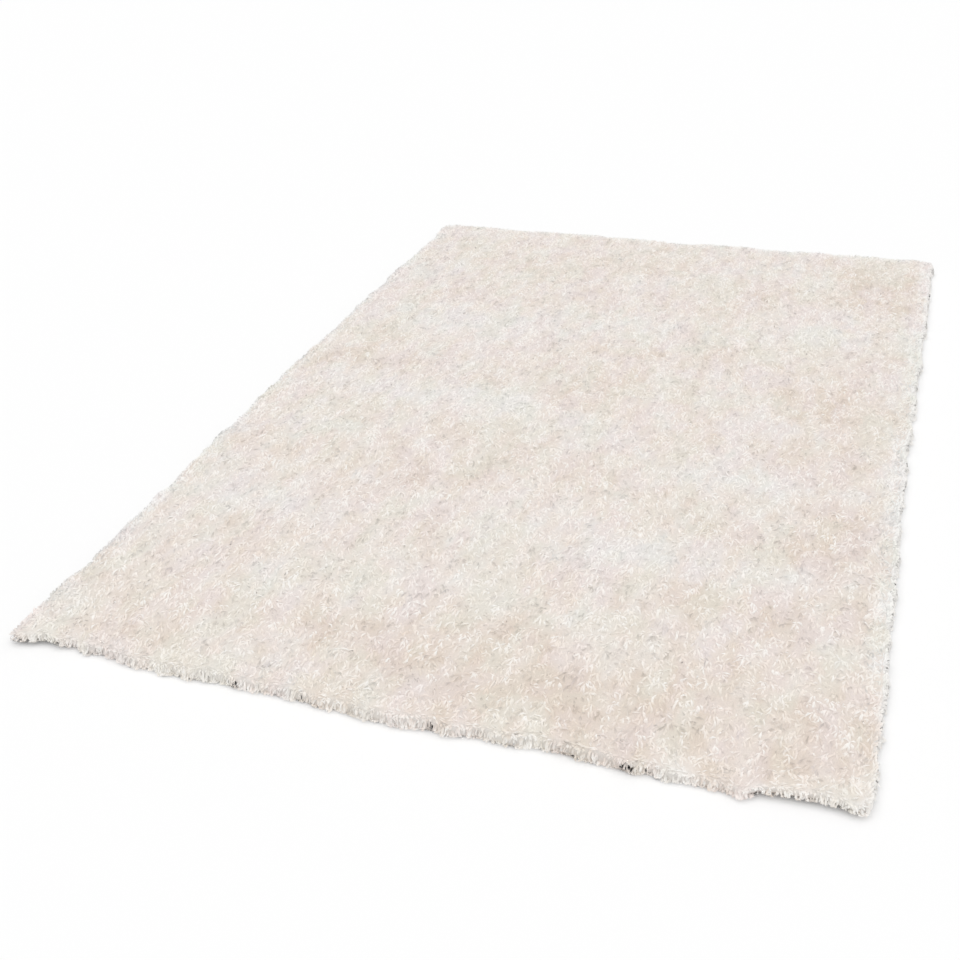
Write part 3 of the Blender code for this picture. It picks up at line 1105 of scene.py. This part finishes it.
@dataclass
class Mottling:
    """How pale or warm, how lilac or green, and how bright in painted light and shade the yarn is
    at each place of the rug.
    """

    broad_tone: float = 0.32
    clump_tone: float = 0.55
    fine_tone: float = 0.35
    own_tone: float = 0.04
    patch_tone: float = 0.62
    patch_fall: float = 0.9
    patch_wobble: float = 0.35
    gleam_light: float = 0.46
    tuft_light: float = 0.12
    drift_light: float = 0.08
    own_light: float = 0.30
    clump_cast: float = 0.9
    broad_cast: float = 0.8
    own_cast: float = 0.05
    rim_pale: float = 1.3
    rim_past: float = 0.4
    rim_green: float = 0.2
    rim_shade: float = 0.22
    rim_warm_end: float = 0.75
    near_end: tuple[float, float] = (-1.16, -0.90)

    def __post_init__(self) -> None:
        """Draws the noises that the mottling is mixed from."""
        self.broad = SoftNoise(21, 0.30, 0.10)
        self.clumps = SoftNoise(22, 0.030, 0.065)
        self.fine = SoftNoise(23, 0.010, 0.026)
        self.cast_broad = SoftNoise(24, 0.08, 0.14)
        self.cast_clumps = SoftNoise(25, 0.024, 0.048)
        self.gleams = SoftNoise(26, 0.012, 0.034)
        self.tufts = SoftNoise(27, 0.028, 0.064)
        self.drifts = SoftNoise(28, 0.062, 0.125)

    def tone_at(self, places: np.ndarray, chance: np.random.Generator) -> np.ndarray:
        """How pale each lock is.

        Args:
            places: The locks' places.
            chance: Draws each lock's own share.

        Returns:
            1 for the palest, -1 for the warmest.
        """
        clumps = self.clumps.at(places)
        tone = self.broad_tone * self.broad.at(places) + self.clump_tone * clumps
        tone += self.fine_tone * self.fine.at(places)
        for patch in PATCHES:
            across = (places[:, 0] - patch.x) / patch.half_width
            depth = (places[:, 1] - patch.y) / patch.half_depth
            away = np.maximum(across**2 + depth**2 + self.patch_wobble * clumps, 0.0)
            strength = patch.tint.value * patch.strength * self.patch_tone
            tone += strength * np.exp(-self.patch_fall * away)
        return np.clip(tone + chance.normal(0.0, self.own_tone, len(places)), -1.0, 1.0)

    def light_at(self, places: np.ndarray, chance: np.random.Generator) -> np.ndarray:
        """How bright each lock is painted beside its neighbours, as painted highlight and painted
        shade.

        Args:
            places: The locks' places.
            chance: Draws each lock's own share.

        Returns:
            1 for the brightest painted highlight, -1 for the darkest painted shade, on those that
            lie deepest.
        """
        # Painted highlight and shade, mixed from noises of several sizes and each lock's own share.
        light = self.gleam_light * self.gleams.at(places) + self.tuft_light * self.tufts.at(places)
        light += self.drift_light * self.drifts.at(places)
        return np.clip(light + chance.normal(0.0, self.own_light, len(places)), -1.0, 1.0)

    def cast_at(self, places: np.ndarray, chance: np.random.Generator) -> np.ndarray:
        """How lilac or green each lock is.

        Args:
            places: The locks' places.
            chance: Draws each lock's own share.

        Returns:
            1 for the most lilac, -1 for the greenest.
        """
        cast = self.clump_cast * self.cast_clumps.at(places)
        cast += self.broad_cast * self.cast_broad.at(places)
        return np.clip(cast + chance.normal(0.0, self.own_cast, len(places)), -1.0, 1.0)

    def paint_rim_light_and_shade(self, locks: LockSet, near: np.ndarray) -> LockSet:
        """Makes the yarn near the rim cooler, greener and a little duller than the field, as
        painted light passing through the edge yarn and painted shade on the edge.

        Args:
            locks: The locks, which are changed.
            near: How near the rim each lock is, up to 1 at the rim.

        Returns:
            The same locks.
        """
        at_near_end = 1.0 - smoothstep(*self.near_end, locks.roots[:, 1])
        near = near * (1.0 - self.rim_warm_end * at_near_end)
        # Painted light and shade of the edge: paler, greener and a little darker yarn near the rim.
        palest = 1.0 + self.rim_past * near
        locks.tones = np.clip(locks.tones + self.rim_pale * near, -1.0, palest)
        locks.casts = np.clip(locks.casts - self.rim_green * near, -1.0, 1.0)
        locks.lights = np.clip(locks.lights - self.rim_shade * near, -1.0, 1.0)
        return locks


@dataclass
class Lean:
    """Which way the locks lie: away from the near end, in swirls, each a little its own way."""

    swirl: float = 0.8
    drift: float = 0.3
    spray: float = 0.7

    def __post_init__(self) -> None:
        """Draws the swirls and the drifts, which turn the locks by radians."""
        self.swirls = SoftNoise(42, 0.017, 0.020)
        self.drifts = SoftNoise(43, 0.22, 0.18)

    def at(self, places: np.ndarray, chance: np.random.Generator) -> np.ndarray:
        """Finds which way each lock lies.

        Args:
            places: The locks' places.
            chance: Draws each lock's own turn.

        Returns:
            One flat direction for each lock.
        """
        swirl, drift = self.swirl * self.swirls.at(places), self.drift * self.drifts.at(places)
        own = chance.normal(0.0, self.spray, len(places))
        return headings(math.pi / 2 + swirl + drift + own)


# ---- the rug's pieces


@dataclass
class GroundCloth:
    """The flat woven cloth under the pile."""

    hem_rise: float = 0.0003
    columns: int = 40
    rows: int = 56

    @property
    def flat(self) -> tuple[float, float]:
        """The cloth's width and length, which are its solid's."""
        low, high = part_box(BACKING_NODE)
        return high[0] - low[0], high[1] - low[1]

    def build(self, finish: GroundClothFinish, weave: bpy.types.NodeTree) -> bpy.types.Object:
        """Weaves the cloth in the place of its solid.

        Args:
            finish: The cloth's finish.
            weave: The group of a plain weave.

        Returns:
            The cloth.
        """
        low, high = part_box(BACKING_NODE)
        middle = (Vector(low) + Vector(high)) / 2
        width, length = self.flat
        bm = flat_grid(self.columns, self.rows)
        for vert in bm.verts:
            vert.co = (middle.x + vert.co.x * width, middle.y + vert.co.y * length, low[2])
        lifted = bmesh.ops.extrude_face_region(bm, geom=list(bm.faces))["geom"]
        top = [item for item in lifted if isinstance(item, bmesh.types.BMVert)]
        bmesh.ops.translate(bm, verts=top, vec=(0.0, 0.0, high[2] - low[2] - self.hem_rise))
        bmesh.ops.recalc_face_normals(bm, faces=bm.faces)
        cloth = close_mesh("woven_ground_cloth", bm)
        cloth.data.materials.append(finish.build(weave))
        return cloth


@dataclass
class PileBed:
    """The dense foot of the pile, which the locks stand on."""

    form: RugForm
    depth: float = 0.0020
    inset: float = 0.036
    foot: float = 0.0034
    lumps: float = 0.0006
    lump_cell: tuple[float, float] = (0.02, 0.024)
    columns: int = 140
    rows: int = 208
    rim_step: float = 0.012
    rim_turns: tuple[float, ...] = (-1.4, -0.7, 0.0, 0.2, 0.45, 0.75, 1.05, 1.3, 1.57, 2.1, 2.7)
    rim_depth: float = 0.0045
    deep_from: float = 0.9
    hem_from: float = 0.7
    hem_drop: float = 0.0025
    hem_width: float = 0.014
    gap: float = 0.012
    underlap: float = 0.03
    inner_rise: float = 0.012
    under_shade: float = 2.2
    strand_scales: tuple[float, float, float] = (150.0, 110.0, 60.0)
    seed: int = 31

    def build(self, yarn: bpy.types.Material, mottling: Mottling) -> list[bpy.types.Object]:
        """Makes the bed: a closed lumpy slab, and a closed rounded band round it.

        Args:
            yarn: The yarn's material.
            mottling: The colours of the pile.

        Returns:
            The slab and the band.
        """
        slab = self._slab()
        band, band_light = self._band()
        chance = np.random.default_rng(self.seed)
        for piece, light in ((slab, np.zeros(len(slab.data.vertices))), (band, band_light)):
            piece.data.materials.append(yarn)
            places = np.array([vert.co for vert in piece.data.vertices])
            set_attribute(piece, "lock_place", places * self.strand_scales)
            # The bed counts as the roots of the locks, so it takes their painted root shade.
            set_attribute(piece, "along", np.zeros(len(places)))
            set_attribute(piece, "light", light)
            set_attribute(piece, "tone", mottling.tone_at(places, chance))
            set_attribute(piece, "cast", mottling.cast_at(places, chance))
        return [slab, band]

    def _slab(self) -> bpy.types.Object:
        """Makes the slab inside the rounded edge.

        Returns:
            The slab.
        """
        low = self.form.low[:2] + self.inset + self.gap
        high = self.form.high[:2] - self.inset - self.gap
        bm = flat_grid(self.columns, self.rows)
        flat = np.array([vert.co.xy for vert in bm.verts]) * (high - low) + (low + high) / 2
        lump = SoftNoise(self.seed, *self.lump_cell)
        top = self.form.top_at(flat) - self.depth + self.lumps * lump.at(flat)
        inside = np.minimum(flat - low, high - flat).min(axis=1)
        top -= self.hem_drop * (1.0 - smoothstep(0.0, self.hem_width, inside))
        for vert, place, height in zip(bm.verts, flat, top):
            vert.co = (*place, height)
        rim = [edge for edge in bm.edges if edge.is_boundary]
        for item in bmesh.ops.extrude_edge_only(bm, edges=rim)["geom"]:
            if isinstance(item, bmesh.types.BMVert):
                item.co.z = self.foot
        bmesh.ops.contextual_create(bm, geom=[edge for edge in bm.edges if edge.is_boundary])
        bmesh.ops.recalc_face_normals(bm, faces=bm.faces)
        slab = close_mesh("pile_bed", bm)
        slab.data.shade_smooth()
        return slab

    def _band(self) -> tuple[bpy.types.Object, np.ndarray]:
        """Makes the rounded band under the locks of the rim.

        Returns:
            The band, and the painted light and shade of the yarn at each of its points.
        """
        roll = RimRoll(self.form, foot=self.foot)
        count = round(self.form.rim_length / self.rim_step)
        walk = np.arange(count) * self.form.rim_length / count
        rings, lights = [], []
        for turn in self.rim_turns:
            turns = np.full(count, turn)
            # Painted light on the sides and painted shade under the edge.
            light = roll.side_light(walk, turns) - self.under_shade * roll.shade_at(walk, turns)
            depth = self.depth + self.hem_drop * max(-turn - self.hem_from, 0.0)
            depth += (self.rim_depth - self.depth) * min(max(turn / self.deep_from, 0.0), 1.0)
            rings.append(roll.surface(walk, turns, np.full(count, -depth)))
            lights.append(light)
        point, outward = self.form.rim_at(walk)
        inner = point - outward * (self.inset + self.underlap)
        for height in (self.foot, self.foot + self.inner_rise):
            rings.append(np.column_stack([inner, np.full(count, height)]))
            lights.append(light)
        upper = np.arange(len(rings) * count).reshape(-1, count)
        lower = np.roll(upper, -1, axis=0)
        corners = [upper, lower, np.roll(lower, -1, axis=1), np.roll(upper, -1, axis=1)]
        sizes = np.full(upper.size, len(corners))
        corners = np.stack(corners, axis=-1).ravel()
        band = mesh_object("pile_bed_rim", np.concatenate(rings), corners, sizes)
        return band, np.concatenate(lights)


@dataclass
class FieldLocks:
    """The locks that cover the top of the rug and lean along its length, gathered in tufts."""

    form: RugForm
    pitch: float = 0.0072
    jitter: float = 0.5
    bands: int = 5
    dense_share: float = 0.0001
    dense_near: float = 40.0
    edge_inset: float = 0.022
    pull: float = 0.25
    reach: float = 0.0130
    reach_spread: float = 0.35
    half_width: float = 0.0025
    width_spread: float = 0.3
    sunk: float = 0.0033
    tip_depth: float = 0.0006
    tip_unevenness: float = 0.0019
    tuft_cell: tuple[float, float] = (0.011, 0.030)
    gather: float = 0.50
    tuft_rise: float = 0.0040
    tuft_fall: float = 2.0
    tuft_middle: float = 0.5
    tuft_own: float = 0.4
    tuft_light: float = 0.48
    tuft_tone: float = 0.15
    tuft_cast: float = 0.20
    cool_width: float = 0.055
    sway: float = 0.0036
    knee_share: float = 0.35
    arch: tuple[float, float] = (0.0004, 0.0022)
    evenness: float = 0.8
    near_end: tuple[float, float] = (-1.15, -0.75)
    seed: int = 41

    def locks(self, mottling: Mottling) -> LockSet:
        """Places every lock.

        Args:
            mottling: The colours of the pile.

        Returns:
            The locks, row by row along the rug.
        """
        chance = np.random.default_rng(self.seed)
        low, high = self.form.low, self.form.high
        xs, ys = (np.arange(low[axis], high[axis], self.pitch) for axis in (0, 1))
        grid = np.stack(np.meshgrid(xs, ys), axis=-1).reshape(-1, 2)
        flat = grid + chance.uniform(-self.jitter, self.jitter, grid.shape) * self.pitch
        inside, outward = self.form.rim_beside(flat)
        kept = inside > self.edge_inset
        flat, inside, outward = flat[kept], inside[kept], outward[kept]
        count = len(flat)
        heading = Lean().at(flat, chance)
        free = smoothstep(self.edge_inset, 2.0 * self.edge_inset, inside)
        pull = self.pull * (1.0 - free)[:, None]
        heading = unit(heading * (1.0 - pull) + outward * pull)
        crosswise = np.column_stack([-heading[:, 1], heading[:, 0]])
        reach = varied(self.reach, self.reach_spread, count, chance)
        tip = flat + heading * reach[:, None]
        middle, (own_rise, own_tint) = self._gather(tip)
        away = np.linalg.norm((tip - middle) / self.tuft_cell, axis=1)
        rise = self.tuft_middle - np.minimum(self.tuft_fall * away, 1.0) + self.tuft_own * own_rise
        tip_height = self.form.top_at(tip) + self.tuft_rise * rise - self.tip_depth
        tip_height += chance.normal(0.0, self.tip_unevenness, count)
        sway = crosswise * chance.normal(0.0, self.sway, count)[:, None]
        knee = flat + heading * (reach * self.knee_share)[:, None] + sway
        knee_height = tip_height + chance.uniform(*self.arch, count)
        half_widths = varied(self.half_width, self.width_spread, count, chance)
        tones = mottling.tone_at(middle, chance) + self.tuft_tone * own_tint
        casts = mottling.cast_at(middle, chance) + self.tuft_cast * own_tint
        # Painted highlight on tufts that stand higher, painted shade on lower ones.
        lights = mottling.light_at(middle, chance) + self.tuft_light * own_rise
        locks = LockSet(
            roots=np.column_stack([flat, self.form.top_at(flat) - self.sunk]),
            knees=np.column_stack([knee, knee_height]),
            tips=np.column_stack([tip, tip_height]),
            half_widths=half_widths,
            tones=np.clip(tones, -1.0, 1.0),
            casts=np.clip(casts, -1.0, 1.0),
            lights=np.clip(lights, -1.0, 1.0),
        )
        return mottling.paint_rim_light_and_shade(locks, 1.0 - smoothstep(0.0, self.cool_width, inside))

    def _gather(self, tip: np.ndarray) -> tuple[np.ndarray, np.ndarray]:
        """Draws the tips of the locks towards the middles of their tufts.

        Args:
            tip: The tips on the floor plan, which are moved.

        Returns:
            The middle of each lock's tuft, and two rows of numbers that are the tufts' own.
        """
        middle, own = Tufts(self.seed + TUFT_SEED_OFFSET, *self.tuft_cell).at(tip)
        tip += (middle - tip) * self.gather
        return middle, own.T

    def build(self, yarn: bpy.types.Material, mottling: Mottling) -> list[bpy.types.Object]:
        """Draws the dense locks, and the loose ones in bands along the rug.

        Args:
            yarn: The yarn's material.
            mottling: The colours of the pile.

        Returns:
            The dense locks, and one piece for each band of loose ones.
        """
        locks = self.locks(mottling)
        at_near_end = 1.0 - smoothstep(*self.near_end, locks.roots[:, 1])
        share = self.dense_share * (1.0 + self.dense_near * at_near_end)
        dense, loose = locks.split(share, self.seed)
        shape = LockShape(evenness=self.evenness)
        pieces = [locks.part(dense).draw("pile_locks_dense", shape, self.seed + self.bands)]
        for band, chosen in enumerate(np.array_split(loose, self.bands)):
            piece = locks.part(chosen).draw(f"pile_locks_{band + 1}", shape, self.seed + band)
            piece.visible_shadow = False
            pieces.append(piece)
        for piece in pieces:
            piece.data.materials.append(yarn)
        return pieces


@dataclass
class EdgeLocks:
    """The locks that lie on the full edge and hang from it to the floor, in small tufts."""

    form: RugForm
    count: int = 18500
    dense_share: float = 0.015
    dense_side: float = 1.0
    side_depth: tuple[float, float] = (0.015, 0.030)
    turns: tuple[float, float] = (-0.45, 2.2)
    last_turn: float = 2.7
    arc: float = 0.032
    hang: float = 0.85
    hang_turns: tuple[float, float] = (0.0, 1.1)
    reach: float = 0.0140
    reach_spread: float = 0.35
    half_width: float = 0.0023
    width_spread: float = 0.3
    sunk: float = 0.0050
    sway: float = 0.0025
    tip_depth: float = 0.0006
    tip_unevenness: float = 0.0016
    knee_share: float = 0.35
    arch: tuple[float, float] = (0.0004, 0.0024)
    tuft_pitch: float = 0.015
    tuft_jitter: float = 0.3
    tuft_turns: tuple[float, float] = (1.2, 1.9)
    tuft_out: float = 0.0028
    calm_past: float = 0.004
    gather: float = 0.40
    cool_width: float = 0.055
    under_shade: float = 1.6
    lowest: float = 0.0012
    lowest_spread: float = 0.0006
    thin_at_floor: float = 0.0004
    seed: int = 61

    def locks(self, mottling: Mottling) -> LockSet:
        """Places every lock.

        Args:
            mottling: The colours of the pile.

        Returns:
            The locks in no order.
        """
        chance = np.random.default_rng(self.seed)
        roll = RimRoll(self.form)
        count = self.count
        walk = chance.uniform(0.0, self.form.rim_length, count)
        turn = chance.uniform(*self.turns, count)
        point, outward = self.form.rim_at(walk)
        forward = np.column_stack([-outward[:, 1], outward[:, 0]])
        heading = Lean().at(point - outward * (roll.width - turn[:, None] * self.arc), chance)
        down = self.hang * smoothstep(*self.hang_turns, turn)
        sideways = (heading * forward).sum(axis=1) * (1.0 - down)
        outwards = (heading * outward).sum(axis=1) * (1.0 - down) + down
        sideways, outwards = unit(np.column_stack([sideways, outwards])).T
        reach = varied(self.reach, self.reach_spread, count, chance)
        tip_walk = walk + reach * sideways
        tip_turn = np.minimum(turn + reach * outwards / self.arc, self.last_turn)
        tip_out = self._gather(tip_walk, tip_turn, chance)
        tip_out *= 1.0 - np.clip(roll.point_length(point) / self.calm_past, 0.0, 1.0)
        tip_out += chance.normal(-self.tip_depth, self.tip_unevenness, count)
        knee_walk = walk + (tip_walk - walk) * self.knee_share
        knee_walk += chance.normal(0.0, self.sway, count)
        knee_turn = turn + (tip_turn - turn) * self.knee_share
        root = roll.surface(walk, turn, np.full(count, -self.sunk))
        knee = roll.surface(knee_walk, knee_turn, chance.uniform(*self.arch, count))
        tip = roll.surface(tip_walk, tip_turn, tip_out)
        for row in (root, knee, tip):
            off_floor = self.lowest + np.abs(chance.normal(0.0, self.lowest_spread, count))
            row[:, 2] = np.maximum(row[:, 2], off_floor)
        width = varied(self.half_width, self.width_spread, count, chance)
        locks = LockSet(
            roots=root,
            knees=knee,
            tips=tip,
            half_widths=np.minimum(width, self.thin_at_floor + root[:, 2]),
            tones=mottling.tone_at(root, chance),
            casts=mottling.cast_at(root, chance),
            lights=mottling.light_at(root, chance),
        )
        inside = roll.width - turn * self.arc
        locks = mottling.paint_rim_light_and_shade(locks, 1.0 - smoothstep(0.0, self.cool_width, inside))
        # Painted light on the sides and painted shade under the edge.
        locks.lights += roll.side_light(walk, turn) - self.under_shade * roll.shade_at(walk, turn)
        return locks

    def _gather(
        self, walk: np.ndarray, turn: np.ndarray, chance: np.random.Generator
    ) -> np.ndarray:
        """Draws the tips that hang low together in small tufts.

        Args:
            walk: How far round the rim the tips are, which is changed.
            turn: The tips' turns from the flat top.
            chance: Draws the tufts.

        Returns:
            How far out of the edge each tip stands.
        """
        low = smoothstep(*self.tuft_turns, turn)
        tufts = int(self.form.rim_length / self.tuft_pitch)
        strays = chance.uniform(-self.tuft_jitter, self.tuft_jitter, tufts)
        middles = (np.arange(tufts) + 0.5 + strays) * self.tuft_pitch
        nearest = np.clip((walk / self.tuft_pitch).astype(int), 0, tufts - 1)
        walk += (middles[nearest] - walk) * self.gather * low
        return chance.normal(0.0, self.tuft_out, tufts)[nearest] * low

    def build(self, yarn: bpy.types.Material, mottling: Mottling) -> list[bpy.types.Object]:
        """Draws the locks round the rim.

        Args:
            yarn: The yarn's material.
            mottling: The colours of the pile.

        Returns:
            The dense locks and the loose ones.
        """
        locks = self.locks(mottling)
        below = self.form.top_at(locks.roots) - locks.roots[:, 2]
        share = self.dense_share * (1.0 + self.dense_side * smoothstep(*self.side_depth, below))
        dense, loose = locks.split(share, self.seed)
        pieces = [
            locks.part(dense).draw("edge_locks_dense", LockShape(), self.seed),
            locks.part(loose).draw("edge_locks", LockShape(), self.seed + 1),
        ]
        pieces[1].visible_shadow = False
        for piece in pieces:
            piece.data.materials.append(yarn)
        return pieces


# ---- studio


@dataclass
class Studio:
    """The white floor, the soft light and the camera."""

    floor_half: float = 30.0
    camera_place: tuple[float, float, float] = (0.7380, -2.6417, 1.4738)
    heading_deg: float = 20.754
    pitch_deg: float = -31.120
    roll_deg: float = -2.852
    focal_pixels: float = 1237.5
    sensor_width: float = 36.0
    sky: float = 0.50
    sky_colour: tuple[float, float, float] = (1.0, 1.0, 1.0)
    lamp_heading_deg: float = 20.0
    lamp_height_deg: float = 76.0
    lamp_softness_deg: float = 95.0
    lamp_strength: float = 2.00

    def build(self) -> None:
        """Sets the whole studio up."""
        self._floor()
        self._light()
        self._camera()

    def _floor(self) -> None:
        """Lays the floor."""
        floor = close_mesh("studio_floor", flat_grid(1, 1, self.floor_half))
        floor.data.materials.append(FloorFinish().build())

    def _light(self) -> None:
        """Hangs a large softbox and fills the room with even light."""
        world = bpy.data.worlds.new("white_room")
        world.use_nodes = True
        background = world.node_tree.nodes["Background"].inputs
        background["Color"].default_value = (*self.sky_colour, 1.0)
        background["Strength"].default_value = self.sky
        bpy.context.scene.world = world
        bpy.context.scene.view_settings.view_transform = "Standard"
        lamp = bpy.data.lights.new("soft_wall_of_light", "SUN")
        lamp.angle = math.radians(self.lamp_softness_deg)
        lamp.energy = self.lamp_strength
        tilt, heading = 90.0 - self.lamp_height_deg, self.lamp_heading_deg
        wall = add_object("soft_wall_of_light", lamp)
        wall.rotation_euler = Euler((math.radians(tilt), 0.0, math.radians(heading)))

    def _camera(self) -> None:
        """Places the camera at the picture's viewing angle."""
        lens = bpy.data.cameras.new("camera")
        lens.sensor_width = self.sensor_width
        lens.lens = self.focal_pixels * self.sensor_width / IMAGE_SIDE
        camera = add_object("camera", lens)
        aim = Euler((math.radians(90.0 + self.pitch_deg), 0.0, math.radians(self.heading_deg)))
        turn = aim.to_matrix() @ Matrix.Rotation(math.radians(self.roll_deg), 3, "Z")
        camera.matrix_world = Matrix.Translation(self.camera_place) @ turn.to_4x4()
        bpy.context.scene.camera = camera


# ---- all together


@dataclass
class ShagRug:
    """The whole rug."""

    form: RugForm

    def build(self) -> None:
        """Builds the cloth, the bed and the locks, and ties them to the frame."""
        mottling = Mottling()
        yarn = YarnFinish().build(fibre_group())
        cloth_maker = GroundCloth()
        cloth = cloth_maker.build(GroundClothFinish(), weave_group())
        pile = PileBed(self.form).build(yarn, mottling)
        pile += FieldLocks(self.form).build(yarn, mottling)
        pile += EdgeLocks(self.form).build(yarn, mottling)
        for piece in [cloth, *pile]:
            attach(piece, BODY)
            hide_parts(BACKING_NODE if piece is cloth else PILE_NODE)
            log.info("%s: %d faces", piece.name, len(piece.data.polygons))


def main() -> None:
    """Builds the rug and the studio."""
    logging.basicConfig(level=logging.INFO, format="%(name)s: %(message)s")
    ShagRug(RugForm(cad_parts[PILE_NODE])).build()
    Studio().build()


if __name__ == "__main__":
    main()
